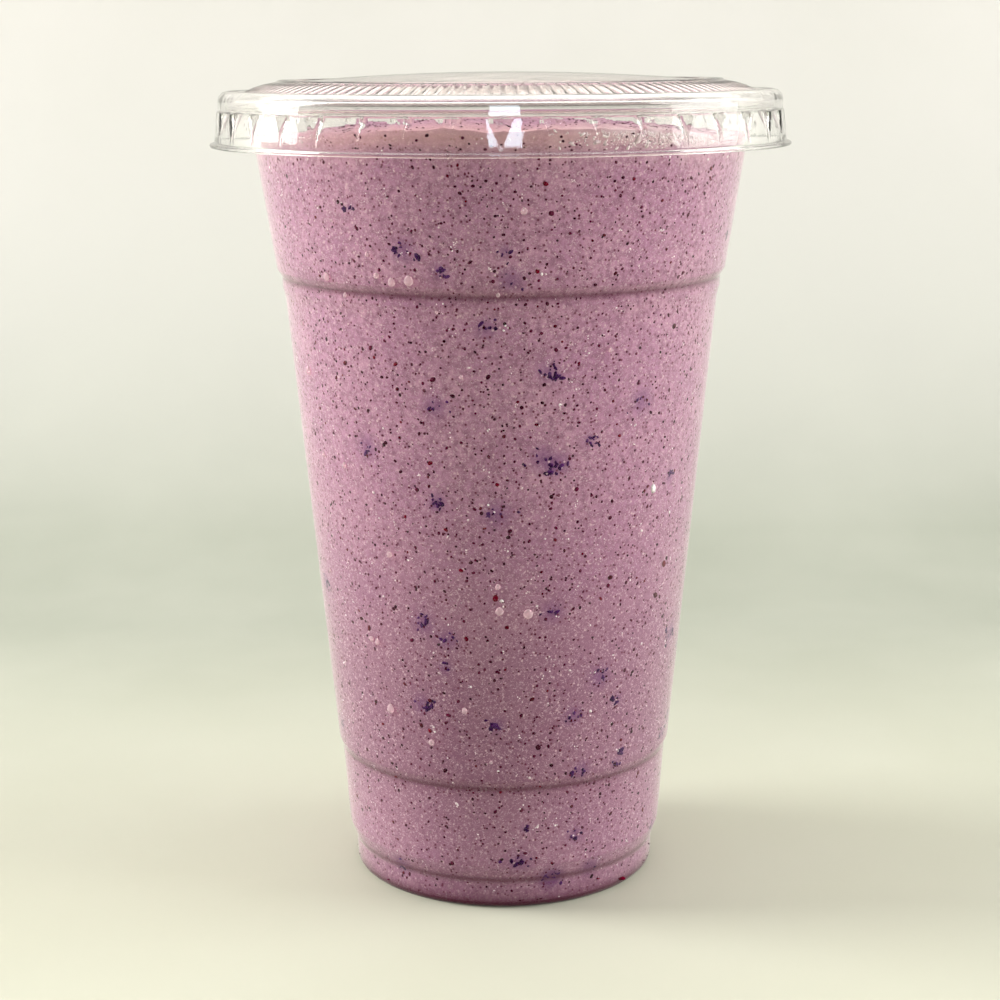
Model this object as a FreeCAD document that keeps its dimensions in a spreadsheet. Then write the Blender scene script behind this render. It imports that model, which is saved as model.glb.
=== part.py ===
"""Clear lidded cold cup filled with a thick berry protein shake.

Frame: origin at the middle of the cup's foot, +Z up, millimetres.
Sub-parts: cup (stepped thin-walled cup with a rolled lip), lid (domed lid
with a ring of radial ribs and a skirt of snap wedges) and shake (the drink).
"""
import FreeCAD, Part
import math
import os
import Sketcher

# Driving sizes in millimetres, apart from counts and angles in degrees.
SIZES = {
    # cup, from the foot up
    "cup_height": 145.4,
    "cup_wall": 0.5,
    "foot_radius": 28.6,
    "foot_round": 1.2,
    "foot_height": 4.8,
    "foot_land": 2.6,
    "punt_height": 2.4,
    "punt_slant": 0.9,
    "heel_flare": 1.35,
    "heel_height": 3.8,
    "low_band_flare": 1.1,
    "low_band_length": 15.2,
    "low_step_out": 0.65,
    "low_step_height": 1.7,
    "bulge_out": 0.53,
    "bulge_height": 2.1,
    "groove_height": 1.7,
    "top_step_out": 0.9,
    "top_step_height": 1.4,
    "top_band_flare": 4.3,
    "top_band_length": 27.8,
    # rolled lip
    "rim_radius": 49.4,
    "neck_inset": 4.1,
    "neck_drop": 3.0,
    "lip_width": 3.7,
    "lip_height": 2.6,
    "lip_return": 1.5,
    "lip_round": 1.25,
    # lid
    "lid_wall": 0.5,
    "seat_gap": 0.15,
    "side_gap": 0.7,
    "shoulder_round": 2.4,
    "shoulder_width": 3.4,
    "gutter_width": 1.1,
    "gutter_depth": 0.25,
    "cone_width": 5.8,
    "cone_rise": 1.75,
    "bead_width": 2.4,
    "bead_height": 0.38,
    "bead_side": 0.45,
    "dome_rise": 1.65,
    "side_height": 3.35,
    "skirt_step": 0.22,
    "skirt_flare": 0.6,
    "skirt_height": 9.1,
    "flange_width": 0.85,
    "flange_thickness": 0.6,
    # ring of fine ribs on the lid's cone
    "rib_count": 140,
    "rib_width": 0.8,
    "rib_height": 0.3,
    "rib_margin": 0.3,
    # snap wedges pressed into the lid's skirt
    "wedge_count": 40,
    "wedge_width": 3.2,
    "wedge_depth": 1.5,
    "wedge_height": 3.8,
    "wedge_tip": 0.15,
    "snap_gap": 0.4,
    # drink
    "fill_gap": 0.05,
    "headspace": 3.1,
    "crest_forward": 20.0,
    "crest_knee": 14.0,
    "crest_fall": 6.5,
}

TURN = 360
BEND_FLATS = 2
SHOULDER_FLATS = 3
DOME_RINGS = 3


class Size:
    """A length together with the sheet formula it comes from."""

    def __init__(self, value, text):
        self.value = value
        self.text = text

    def __add__(self, other):
        return Size(self.value + other.value, f"{self.text} + {other.text}")

    def __sub__(self, other):
        return Size(self.value - other.value, f"{self.text} - ({other.text})")

    def __neg__(self):
        return Size(-self.value, f"-({self.text})")

    def __mul__(self, other):
        return Size(self.value * other.value, f"({self.text}) * ({other.text})")

    def __truediv__(self, other):
        return Size(self.value / other.value, f"({self.text}) / ({other.text})")

    def times(self, factor):
        return Size(self.value * factor, f"({self.text}) * {factor}")


class Sheet:
    """The document's spreadsheet: each alias reads as an attribute."""

    def __init__(self, document, sizes):
        cells = document.addObject("Spreadsheet::Sheet", "sheet")
        for row, (alias, value) in enumerate(sizes.items(), start=1):
            cells.set(f"A{row}", alias)
            cells.set(f"B{row}", str(value))
            cells.setAlias(f"B{row}", alias)
            setattr(self, alias, Size(value, f"sheet.{alias}"))


doc = FreeCAD.newDocument("protein_shake")
size = Sheet(doc, SIZES)
doc.recompute()
ZERO = Size(0.0, "0")


def origin_part(body, role):
    """The body's own origin plane or axis with the given role."""
    for feature in body.Origin.OriginFeatures:
        if feature.Role == role:
            return feature
    raise ValueError(role)


def new_body(name):
    """An empty labelled body standing in the document's frame."""
    body = doc.addObject("PartDesign::Body", name)
    body.Label = name
    body.Placement = FreeCAD.Placement()
    return body


def new_sketch(body, name, role, height=None):
    """A sketch on one of the body's origin planes, raised by height."""
    sketch = body.newObject("Sketcher::SketchObject", name)
    sketch.AttachmentSupport = [(origin_part(body, role), "")]
    sketch.MapMode = "FlatFace"
    if height is not None:
        sketch.setExpression("AttachmentOffset.Base.z", height.text)
    return sketch


def place(sketch, element, end, across, up):
    """Tie one point of the sketch to the sheet."""
    for kind, distance in (("DistanceX", across), ("DistanceY", up)):
        index = sketch.addConstraint(
            Sketcher.Constraint(kind, -1, 1, element, end, distance.value))
        sketch.setExpression(f"Constraints[{index}]", distance.text)


def add_line(sketch, start, finish, construction=False):
    """Straight line between two corners of (across, up)."""
    ends = [FreeCAD.Vector(across.value, up.value, 0) for across, up in (start, finish)]
    return sketch.addGeometry(Part.LineSegment(*ends), construction)


def closed_outline(sketch, corners):
    """Closed outline through corners of (across, up), each tied to the sheet."""
    lines = [add_line(sketch, corner, corners[(index + 1) % len(corners)])
             for index, corner in enumerate(corners)]
    for index, (across, up) in enumerate(corners):
        sketch.addConstraint(
            Sketcher.Constraint("Coincident", lines[index - 1], 2, lines[index], 1))
        place(sketch, lines[index], 1, across, up)


def quarter_bend(corner, radius, start, flats):
    """Points along the quarter circle that rounds a square corner.

    The bend runs anticlockwise from the start angle in degrees.
    """
    across, up = corner
    middle_angle = math.radians(start + 45)
    centre_across = across - radius.times(math.copysign(1, math.cos(middle_angle)))
    centre_up = up - radius.times(math.copysign(1, math.sin(middle_angle)))
    angles = [math.radians(start + 90 * step / flats) for step in range(flats + 1)]
    return [(centre_across + radius.times(round(math.cos(angle), 6)),
             centre_up + radius.times(round(math.sin(angle), 6))) for angle in angles]


def revolve(body, name, corners):
    """Turn a closed outline in the XZ plane about the vertical axis."""
    sketch = new_sketch(body, f"{name}_outline", "XZ_Plane")
    closed_outline(sketch, corners)
    feature = body.newObject("PartDesign::Revolution", name)
    feature.Profile = sketch
    feature.ReferenceAxis = (sketch, ["V_Axis"])
    feature.Angle = TURN
    return feature


def repeat_round(body, name, feature, count):
    """Copy one feature round the vertical axis."""
    pattern = body.newObject("PartDesign::PolarPattern", name)
    pattern.Originals = [feature]
    pattern.Axis = (origin_part(body, "Z_Axis"), [""])
    pattern.Angle = TURN
    pattern.setExpression("Occurrences", count.text)
    body.Tip = pattern
    return pattern


def wall_stations(inset):
    """The stepped side wall from heel to neck, moved inwards by inset."""
    heel = size.foot_radius + size.heel_flare
    low_crease = heel + size.low_band_flare
    band_base = low_crease + size.low_step_out
    neck = size.rim_radius - size.neck_inset
    top_base = neck - size.top_band_flare
    groove = top_base - size.top_step_out
    band_top = groove - size.bulge_out

    heel_z = size.foot_height + size.heel_height
    low_crease_z = heel_z + size.low_band_length
    band_base_z = low_crease_z + size.low_step_height
    neck_z = size.cup_height - size.neck_drop
    top_base_z = neck_z - size.top_band_length
    crease_z = top_base_z - size.top_step_height
    bulge_z = crease_z - size.groove_height
    band_top_z = bulge_z - size.bulge_height
    stations = [
        (size.foot_radius, size.foot_height),
        (heel, heel_z),
        (low_crease, low_crease_z),
        (band_base, band_base_z),
        (band_top, band_top_z),
        (groove, bulge_z),
        (groove, crease_z),
        (top_base, top_base_z),
        (neck, neck_z),
    ]
    return [(radius - inset, height) for radius, height in stations]


def floor_corners(inset):
    """The foot and recessed floor, from the axis out, grown inwards by inset."""
    land = size.foot_radius - size.foot_land
    foot = (size.foot_radius - inset, inset)
    return [
        (ZERO, size.punt_height + inset),
        (land - size.punt_slant, size.punt_height + inset),
        (land, inset),
        *quarter_bend(foot, size.foot_round - inset, 270, BEND_FLATS),
    ]


def lip_corners(inset):
    """The rolled lip, from its turned-in edge round to its inner bend."""
    inner = size.rim_radius - size.lip_width + inset
    outer = size.rim_radius - inset
    low = size.cup_height - size.lip_height + inset
    top = size.cup_height - inset
    bend = size.lip_round - inset
    return [
        (size.rim_radius - size.lip_return, low),
        *quarter_bend((outer, low), bend, 270, BEND_FLATS),
        *quarter_bend((outer, top), bend, 0, BEND_FLATS),
        *quarter_bend((inner, top), bend, 90, BEND_FLATS),
    ]


def build_cup():
    """Thin stepped wall, recessed floor and rolled lip in one revolution."""
    body = new_body("cup")
    skin = size.cup_wall
    outside = floor_corners(ZERO) + wall_stations(ZERO)
    under_lip = lip_corners(skin)
    over_lip = lip_corners(ZERO)
    inside = floor_corners(skin) + wall_stations(skin)
    outline = outside + under_lip[::-1] + over_lip + inside[::-1]
    revolve(body, "cup_shell", outline)
    return body


def lid_outline(inset):
    """The lid's skin from its middle to the skirt's foot, moved in by inset."""
    side = size.rim_radius + size.side_gap + size.lid_wall
    roof = size.cup_height + size.seat_gap + size.lid_wall
    gutter = side - size.shoulder_width
    cone_low, cone_low_z = gutter - size.gutter_width, roof - size.gutter_depth
    cone_top, cone_top_z = cone_low - size.cone_width, cone_low_z + size.cone_rise
    panel = cone_top - size.bead_width
    bead_z = cone_top_z + size.bead_height
    step_z = roof - size.side_height
    skirt = side + size.skirt_step
    dome = [(panel.times(round(ring / DOME_RINGS, 6)),
             cone_top_z + size.dome_rise.times(round(1 - (ring / DOME_RINGS) ** 2, 6)))
            for ring in range(DOME_RINGS + 1)]
    top = dome + [
        (panel + size.bead_side, bead_z),
        (cone_top - size.bead_side, bead_z),
        (cone_top, cone_top_z),
        (cone_low, cone_low_z),
        (gutter, roof),
    ]
    shoulder = quarter_bend((side - inset, roof - inset), size.shoulder_round - inset,
                            0, SHOULDER_FLATS)
    skirt_corners = [
        (side, step_z),
        (skirt, step_z - size.skirt_step),
        (skirt + size.skirt_flare, roof - size.skirt_height),
    ]
    return ([(across, up - inset) for across, up in top] + shoulder[::-1]
            + [(across - inset, up) for across, up in skirt_corners])


def rib_cone():
    """The ends of the lid's cone: (radius, height) at its top and at its foot."""
    first = DOME_RINGS + 3
    return lid_outline(ZERO)[first:first + 2]


def add_ribs(body):
    """Fine radial ribs, each a ridge with a roof section along the lid's cone."""
    (top_r, top_z), (low_r, low_z) = rib_cone()
    fall = size.rib_margin * (top_z - low_z) / (low_r - top_r)
    ends = [
        ("rib_inner", top_r + size.rib_margin, top_z - fall),
        ("rib_outer", low_r - size.rib_margin, low_z + fall),
    ]
    sink = size.lid_wall.times(0.5)
    half = size.rib_width.times(0.5)
    sections = []
    for name, radius, height in ends:
        sketch = new_sketch(body, name, "YZ_Plane", radius)
        closed_outline(sketch, [
            (-half, height - sink),
            (half, height - sink),
            (ZERO, height + size.rib_height),
        ])
        sections.append(sketch)
    rib = body.newObject("PartDesign::AdditiveLoft", "rib")
    rib.Profile = sections[0]
    rib.Sections = sections[1:]
    rib.Ruled = True
    repeat_round(body, "rib_ring", rib, size.rib_count)


def wedge_section(body, name, height, face, point, half_width):
    """Level triangle with its base along the skirt and its point inwards."""
    sketch = new_sketch(body, name, "XY_Plane", height)
    closed_outline(sketch, [(face, -half_width), (face, half_width), (point, ZERO)])
    return sketch


def wedge_loft(body, name, kind, sections):
    """Straight loft between two level triangles, copied round the skirt."""
    upper, lower = [wedge_section(body, f"{name}_{end}", *section)
                    for end, section in zip(("top", "low"), sections)]
    loft = body.newObject(kind, name)
    loft.Profile = upper
    loft.Sections = [lower]
    loft.Ruled = True
    repeat_round(body, f"{name}_ring", loft, size.wedge_count)


def add_wedges(body):
    """Snap wedges pressed into the skirt: deep under the lip, fading downwards.

    Each one is a ridge inside and a matching hollow outside, so the skin
    keeps its thickness.
    """
    skin = size.lid_wall
    half_skin = skin.times(0.5)
    (skirt_top, skirt_top_z), (skirt_low, skirt_low_z) = lid_outline(ZERO)[-2:]
    top = size.cup_height - size.lip_height - size.snap_gap
    low = top - size.wedge_height
    slope = (skirt_low - skirt_top) / (skirt_top_z - skirt_low_z)
    low_face = skirt_top + slope * (skirt_top_z - low)
    point = skirt_top - skin - size.wedge_depth
    half = size.wedge_width.times(0.5)
    tip = size.wedge_tip

    wedge_loft(body, "wedge", "PartDesign::AdditiveLoft", [
        (top, skirt_top - half_skin, point, half),
        (low, low_face - half_skin, low_face - skin - tip, tip),
    ])
    wedge_loft(body, "wedge_hollow", "PartDesign::SubtractiveLoft", [
        (top - skin, skirt_top + skin, point + skin, half + half_skin),
        (low + skin, low_face + skin, low_face - tip, tip),
    ])


def build_lid():
    """Lid skin in one revolution, with its ribs and snap wedges."""
    body = new_body("lid")
    outside = lid_outline(ZERO)
    inside = lid_outline(size.lid_wall)
    skirt, skirt_z = outside[-1]
    flange_z = skirt_z - size.flange_thickness
    flange = [
        (skirt + size.flange_width, skirt_z),
        (skirt + size.flange_width, flange_z),
        (skirt - size.lid_wall, flange_z),
    ]
    revolve(body, "lid_shell", outside + flange + inside[::-1])
    add_ribs(body)
    add_wedges(body)
    return body


def build_shake():
    """The drink: the cup's inside up to a soft mound that leans to the back."""
    body = new_body("shake")
    inset = size.cup_wall + size.fill_gap
    crest = size.cup_height - size.headspace
    outline = floor_corners(inset) + wall_stations(inset)[:-1]
    widest = size.rim_radius - size.neck_inset - inset
    outline += [(widest, crest), (ZERO, crest)]
    revolve(body, "drink", outline)

    sketch = new_sketch(body, "mound_outline", "YZ_Plane")
    middle = -size.crest_forward
    reach = size.rim_radius
    axis = add_line(sketch, (middle, ZERO), (middle, crest), construction=True)
    place(sketch, axis, 1, middle, ZERO)
    place(sketch, axis, 2, middle, crest)
    closed_outline(sketch, [
        (middle, crest),
        (middle + size.crest_knee, crest),
        (reach, crest - size.crest_fall),
        (reach, crest + size.headspace),
        (middle, crest + size.headspace),
    ])
    mound = body.newObject("PartDesign::Groove", "mound")
    mound.Profile = sketch
    mound.ReferenceAxis = (sketch, ["Axis0"])
    mound.Angle = TURN
    return body


def check_and_write(bodies):
    """Stop on any failed object; otherwise write one STEP file per sub-part."""
    doc.recompute()
    for thing in doc.Objects:
        if "Invalid" in thing.State or "Error" in thing.State:
            raise RuntimeError(f"{thing.Name} failed: {thing.State}")
    for body in bodies:
        if body.Shape.isNull() or not body.Shape.isValid():
            raise RuntimeError(f"{body.Label} has no valid shape")
    os.makedirs("parts", exist_ok=True)
    for body in bodies:
        body.Shape.exportStep(f"parts/{body.Label}.step")
        box = body.Shape.BoundBox
        print(f"{body.Label}: {body.Shape.Volume / 1000:.2f} ml, "
              f"z {box.ZMin:.2f} to {box.ZMax:.2f} mm, width {box.XLength:.2f} mm, "
              f"{len(body.Shape.Solids)} solid")


check_and_write([build_cup(), build_lid(), build_shake()])
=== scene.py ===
# %% [markdown]
# # A berry protein shake in a clear lidded cup
#
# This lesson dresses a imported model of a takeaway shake: a thin clear cup
# with moulded steps, a clear lid with fine ribs and snap wedges, and a thick
# mauve drink full of seed specks and bits of berry skin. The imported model
# gives the sizes, and every new surface is worked out with numpy.

# %% Load the frame
import math
import bpy
import numpy as np
from mathutils import Matrix, Vector


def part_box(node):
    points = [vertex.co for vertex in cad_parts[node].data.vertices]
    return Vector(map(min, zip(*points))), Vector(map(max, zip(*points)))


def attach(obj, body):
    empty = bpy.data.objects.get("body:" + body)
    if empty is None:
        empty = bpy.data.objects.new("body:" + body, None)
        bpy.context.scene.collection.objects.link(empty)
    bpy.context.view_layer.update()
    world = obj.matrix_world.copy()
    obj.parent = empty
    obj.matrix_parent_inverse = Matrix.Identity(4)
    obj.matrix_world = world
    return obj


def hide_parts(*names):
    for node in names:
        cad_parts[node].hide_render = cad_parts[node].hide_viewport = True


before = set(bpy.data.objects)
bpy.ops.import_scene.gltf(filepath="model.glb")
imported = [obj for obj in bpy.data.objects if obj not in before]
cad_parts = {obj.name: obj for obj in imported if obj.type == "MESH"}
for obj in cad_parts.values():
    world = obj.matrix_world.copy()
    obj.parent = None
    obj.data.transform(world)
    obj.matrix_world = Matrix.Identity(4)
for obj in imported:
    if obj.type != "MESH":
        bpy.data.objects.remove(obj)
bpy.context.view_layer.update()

MM = 0.001
cup_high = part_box("cup")[1]
lid_low, lid_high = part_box("lid")
shake_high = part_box("shake")[1]

# %% [markdown]
# ## The camera
#
# A product shot of a cup is taken from a little above its rim, with a long
# lens, so the rings of the wall read as flat ellipses. The camera is made
# first, because its distance decides how fine the surfaces have to be. It is
# turned with one matrix: pitch down, then a very small yaw and roll.

# %% Camera
CAMERA_DISTANCE = 0.365
CAMERA_HEIGHT = 0.1519
CAMERA_PITCH = 12.63
CAMERA_YAW = 0.07
CAMERA_ROLL = -0.32
LENS_MM = 71.3

camera_data = bpy.data.cameras.new("camera")
camera_data.lens = LENS_MM
camera_data.sensor_width = 36.0
camera_data.clip_start = 0.01
camera = bpy.data.objects.new("camera", camera_data)
bpy.context.scene.collection.objects.link(camera)
turn = (Matrix.Rotation(math.radians(CAMERA_YAW), 4, "Z")
        @ Matrix.Rotation(math.radians(90 - CAMERA_PITCH), 4, "X")
        @ Matrix.Rotation(math.radians(CAMERA_ROLL), 4, "Z"))
camera.matrix_world = Matrix.Translation((0, -CAMERA_DISTANCE, CAMERA_HEIGHT)) @ turn
bpy.context.scene.camera = camera
bpy.context.scene.view_settings.view_transform = "Standard"
print("width seen at the cup's axis in mm:", round(36 / LENS_MM * CAMERA_DISTANCE / MM))

# %% [markdown]
# ## Outlines that turn
#
# The cup, the lid and most of the drink are turned forms, so each starts as
# an outline of (radius, height) corners. Real moulded plastic has no knife
# edges: `round_outline` swaps each corner for a short arc tangent to both
# sides. `resample` then spreads points along the outline, so that later
# relief and colour have somewhere to live.

# %% Outline helpers
SHARE_OF_SIDE = 0.49
NEARLY_STRAIGHT = math.radians(89.5)


def round_outline(corners, radii, steps=5):
    """Open outline in which every corner with a radius becomes an arc.

    The arc touches both sides at radius / tan(half the corner's angle) from
    the corner, and its centre lies radius / sin(half angle) along the bisector.
    """
    corners = np.array(corners, dtype=float)
    points = [corners[:1]]
    for before, corner, after, radius in zip(corners, corners[1:], corners[2:], radii[1:]):
        entry, leave = before - corner, after - corner
        room = SHARE_OF_SIDE * min(np.linalg.norm(entry), np.linalg.norm(leave))
        entry, leave = entry / np.linalg.norm(entry), leave / np.linalg.norm(leave)
        half = math.acos(np.clip(entry @ leave, -1, 1)) / 2
        if radius <= 0 or half > NEARLY_STRAIGHT:
            points.append(corner[None])
            continue
        radius = min(radius, room * math.tan(half))
        centre = corner + (entry + leave) / np.linalg.norm(entry + leave) * radius / math.sin(half)
        first = corner + entry * radius / math.tan(half) - centre
        last = corner + leave * radius / math.tan(half) - centre
        share = np.linspace(0, 1, steps)[:, None]
        arc = first * (1 - share) + last * share
        points.append(centre + arc / np.linalg.norm(arc, axis=1)[:, None] * radius)
    points.append(corners[-1:])
    return np.concatenate(points)


def resample(outline, spacing):
    """Outline with extra points so that no side is longer than the spacing."""
    pieces = [outline[:1]]
    for start, end in zip(outline, outline[1:]):
        count = max(1, math.ceil(np.linalg.norm(end - start) / spacing))
        share = np.arange(1, count + 1)[:, None] / count
        pieces.append(start + (end - start) * share)
    return np.concatenate(pieces)


# %% [markdown]
# ## From a grid of points to a piece
#
# A turned surface is a grid: rings along the outline, columns round the axis.
# The faces of such a grid follow from its shape, so one function makes every
# mesh here. It closes the ends on a single pole point, and it measures the
# signed volume to make sure that the faces look outwards.

# %% Mesh helper
def wrapped_faces(rings, around):
    """Quads of a (rings, around) grid that joins up round the axis."""
    ring, column = np.meshgrid(np.arange(rings - 1), np.arange(around), indexing="ij")
    after = (column + 1) % around
    low, high = ring * around, (ring + 1) * around
    return np.stack([low + column, low + after, high + after, high + column], -1).reshape(-1, 4)


def add_mesh(name, points, triangles, quads=None):
    """Object from arrays of points, triangles and quads, with faces outwards.

    The volume is the sum of a . (b x c) / 6 over the triangles; if it comes
    out negative, the surface is inside out and every face is turned round.
    """
    quads = np.empty((0, 4), int) if quads is None else quads
    halves = np.concatenate([triangles, quads[:, [0, 1, 2]], quads[:, [0, 2, 3]]])
    a, b, c = points[halves].transpose(1, 0, 2)
    volume = np.einsum("ij,ij->", a, np.cross(b, c)) / 6
    if volume < 0:
        triangles, quads = triangles[:, ::-1], quads[:, ::-1]
    mesh = bpy.data.meshes.new(name)
    mesh.vertices.add(len(points))
    mesh.vertices.foreach_set("co", points.astype(np.float32).ravel())
    corners = np.concatenate([triangles.ravel(), quads.ravel()])
    starts = np.concatenate([np.arange(len(triangles)) * 3,
                             len(triangles) * 3 + np.arange(len(quads)) * 4])
    mesh.loops.add(len(corners))
    mesh.loops.foreach_set("vertex_index", corners.astype(np.int32))
    mesh.polygons.add(len(starts))
    mesh.polygons.foreach_set("loop_start", starts.astype(np.int32))
    mesh.polygons.foreach_set("use_smooth", np.ones(len(starts), bool))
    mesh.update(calc_edges=True)
    mesh.validate()
    piece = bpy.data.objects.new(name, mesh)
    bpy.context.scene.collection.objects.link(piece)
    print(f"{name}: {len(halves)} triangles, {abs(volume) * 1e6:.2f} ml")
    return piece


def turned_piece(name, grid):
    """Closed surface from a (rings, around, 3) grid whose first and last rings
    shrink to one point each."""
    rings, around = grid.shape[:2]
    body = grid[1:-1].reshape(-1, 3)
    poles = np.array([grid[0].mean(axis=0), grid[-1].mean(axis=0)])
    column = np.arange(around)
    after = (column + 1) % around
    last = (rings - 3) * around
    first_pole, last_pole = len(body), len(body) + 1
    fans = np.concatenate([
        np.stack([np.full(around, first_pole), after, column], -1),
        np.stack([np.full(around, last_pole), last + column, last + after], -1)])
    return add_mesh(name, np.concatenate([body, poles]), fans, wrapped_faces(rings - 2, around))


def revolve(outline, around):
    """Grid of an outline turned once round the vertical axis."""
    angle = np.arange(around) * 2 * math.pi / around
    radius, height = outline[:, :1], outline[:, 1:]
    return np.stack([radius * np.cos(angle), radius * np.sin(angle),
                     height + 0 * angle], -1)


def set_values(mesh, name, values):
    """Store one number for each point, which a material can read by name."""
    layer = mesh.attributes.new(name, "FLOAT", "POINT")
    layer.data.foreach_set("value", np.asarray(values, dtype=np.float32))


def mesh_points(piece):
    """All points of a piece as an array of (x, y, z) rows."""
    points = np.empty(len(piece.data.vertices) * 3)
    piece.data.vertices.foreach_get("co", points)
    return points.reshape(-1, 3)


# %% [markdown]
# ## Noise from waves
#
# Blender's noise textures live in materials. For relief in the mesh itself,
# a few dozen sine waves with random directions and phases add up to smooth,
# uneven lumps. The seed is fixed, so each run gives the same drink.

# %% Wave noise
def wave_noise(points, wavelength, seed, waves=24):
    """Sum of sine waves of about one wavelength, scaled to lie near -1 to 1."""
    rng = np.random.default_rng(seed)
    directions = rng.normal(size=(waves, 3))
    directions /= np.linalg.norm(directions, axis=1)[:, None]
    lengths = wavelength * rng.uniform(0.7, 1.6, waves)
    phases = rng.uniform(0, 2 * math.pi, waves)
    steps = points @ (directions / lengths[:, None] * 2 * math.pi).T + phases
    return np.sin(steps).sum(axis=-1) / math.sqrt(waves)


# %% [markdown]
# ## The cup
#
# The cup is vacuum formed from one sheet, so inside and outside follow each
# other half a millimetre apart. Its wall widens in three bands: a short one
# above the foot, a long one, and a flared one under the lip. Each step lets a
# stack of cups come apart. The heights and radii are the model's own, and
# they are measured from the lip and the foot, as a mould maker would.

# %% Cup wall
WALL = 0.5 * MM
FOOT_RADIUS = 28.6 * MM
FOOT_ROUND = 1.2 * MM
FOOT_LAND = 2.6 * MM
PUNT_HEIGHT = 2.4 * MM
LIP_DEPTH = 2.6 * MM
CUP_COLUMNS = 288
rim_radius = float(cup_high[0])
cup_height = float(cup_high[2])


def wall_corners(inset):
    """Corners (radius, height) of the stepped side wall, moved in by inset."""
    foot_side = [
        (FOOT_RADIUS, 4.8 * MM),
        (FOOT_RADIUS + 1.35 * MM, 8.6 * MM),
        (FOOT_RADIUS + 2.45 * MM, 23.8 * MM),
        (FOOT_RADIUS + 3.1 * MM, 25.5 * MM),
    ]
    neck_r, neck_z = rim_radius - 4.1 * MM, cup_height - 3.0 * MM
    top_r, top_z = neck_r - 4.3 * MM, neck_z - 27.8 * MM
    lip_side = [
        (top_r - 1.43 * MM, top_z - 5.2 * MM),
        (top_r - 0.9 * MM, top_z - 3.1 * MM),
        (top_r - 0.9 * MM, top_z - 1.4 * MM),
        (top_r, top_z),
        (neck_r, neck_z),
    ]
    return [(radius - inset, height) for radius, height in foot_side + lip_side]


def foot_corners(inset):
    """Recessed floor and standing ring, from the axis outwards."""
    land = FOOT_RADIUS - FOOT_LAND
    return [(0, PUNT_HEIGHT + inset), (land - 0.9 * MM, PUNT_HEIGHT + inset),
            (land, inset), (FOOT_RADIUS - inset, inset)]


def lip_corners(inset):
    """Rolled lip from its turned-in edge round to its inner bend."""
    low, high = cup_height - LIP_DEPTH + inset, cup_height - inset
    return [(rim_radius - 1.5 * MM, low), (rim_radius - inset, low),
            (rim_radius - inset, high), (rim_radius - 3.7 * MM + inset, high)]


FOOT_RADII = [0, 0.5 * MM, 0.4 * MM, FOOT_ROUND]
WALL_RADII = [0.8 * MM, 1.6 * MM, 0.7 * MM, 0.9 * MM, 1.5 * MM,
              1.2 * MM, 0.5 * MM, 0.9 * MM, 1.5 * MM]
LIP_RADII = [0.1 * MM, 1.25 * MM, 1.25 * MM, 1.25 * MM]
cup_radii = FOOT_RADII + WALL_RADII + LIP_RADII[::-1] + LIP_RADII + (FOOT_RADII + WALL_RADII)[::-1]
outside = foot_corners(0) + wall_corners(0)
inside = foot_corners(WALL) + wall_corners(WALL)
cup_corners = outside + lip_corners(WALL)[::-1] + lip_corners(0) + inside[::-1]
cup_outline = resample(round_outline(cup_corners, cup_radii), 4 * MM)
cup = turned_piece("clear_cup", revolve(cup_outline, CUP_COLUMNS))
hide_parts("cup")
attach(cup, "root")

# %% [markdown]
# ## The lid
#
# The lid is formed from thinner sheet. Two kinds of relief make it stiff and
# make it snap: 140 fine ribs on the cone just inside the shoulder, and 40
# wedges pressed into the skirt, which hook under the cup's lip. Both skins of
# the sheet move together. A rib is a cosine ridge in angle. A wedge is half a
# pyramid: deep at its top edge and fading to a point further down.

# %% Lid outline
LID_WALL = 0.5 * MM
SIDE_GAP, ROOF_GAP, WEDGE_GAP = 0.7 * MM, 0.15 * MM, 0.4 * MM
RIB_COUNT = 140
RIB_HEIGHT = 0.3 * MM
WEDGE_COUNT = 40
WEDGE_DEPTH = 1.5 * MM
WEDGE_HALF = 1.6 * MM
WEDGE_HEIGHT = 3.8 * MM
lid_top, flange_radius, lid_foot = float(lid_high[2]), float(lid_high[0]), float(lid_low[2])

side = rim_radius + SIDE_GAP + LID_WALL
roof = cup_height + ROOF_GAP + LID_WALL
gutter = side - 3.4 * MM
cone_low, cone_low_z = gutter - 1.1 * MM, roof - 0.25 * MM
cone_top, cone_top_z = cone_low - 5.8 * MM, cone_low_z + 1.75 * MM
panel = cone_top - 2.4 * MM
skirt_top, skirt_top_z = side + 0.22 * MM, roof - 3.57 * MM
skirt_foot, skirt_foot_z = skirt_top + 0.6 * MM, roof - 9.1 * MM
wedge_top_z = cup_height - LIP_DEPTH - WEDGE_GAP


def lid_skin(inset):
    """One skin of the lid from its middle to the skirt's foot."""
    dome = [(panel * share, cone_top_z + (lid_top - cone_top_z) * (1 - share ** 2) - inset)
            for share in np.linspace(0, 1, 9)]
    top = [(panel + 0.45 * MM, cone_top_z + 0.38 * MM - inset),
           (cone_top - 0.45 * MM, cone_top_z + 0.38 * MM - inset),
           (cone_top, cone_top_z - inset), (cone_low, cone_low_z - inset),
           (gutter, roof - inset), (side - inset, roof - inset)]
    flare = (skirt_foot - skirt_top) / (skirt_top_z - skirt_foot_z)
    wedge_rows = [wedge_top_z + 0.08 * MM, wedge_top_z - 0.001 * MM]
    wedge_rows += [wedge_top_z - WEDGE_HEIGHT * share for share in (0.25, 0.5, 0.75, 1.0)]
    skirt = [(side - inset, roof - 3.35 * MM)]
    skirt += [(skirt_top + flare * (skirt_top_z - row) - inset, row) for row in wedge_rows]
    skirt += [(skirt_foot - inset, skirt_foot_z)]
    radii = ([0] * 8 + [0.3 * MM] * 4 + [0.4 * MM] * 2
             + [2.4 * MM - inset, 0.15 * MM] + [0] * 6 + [0.5 * MM])
    return dome + top + skirt, radii


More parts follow.
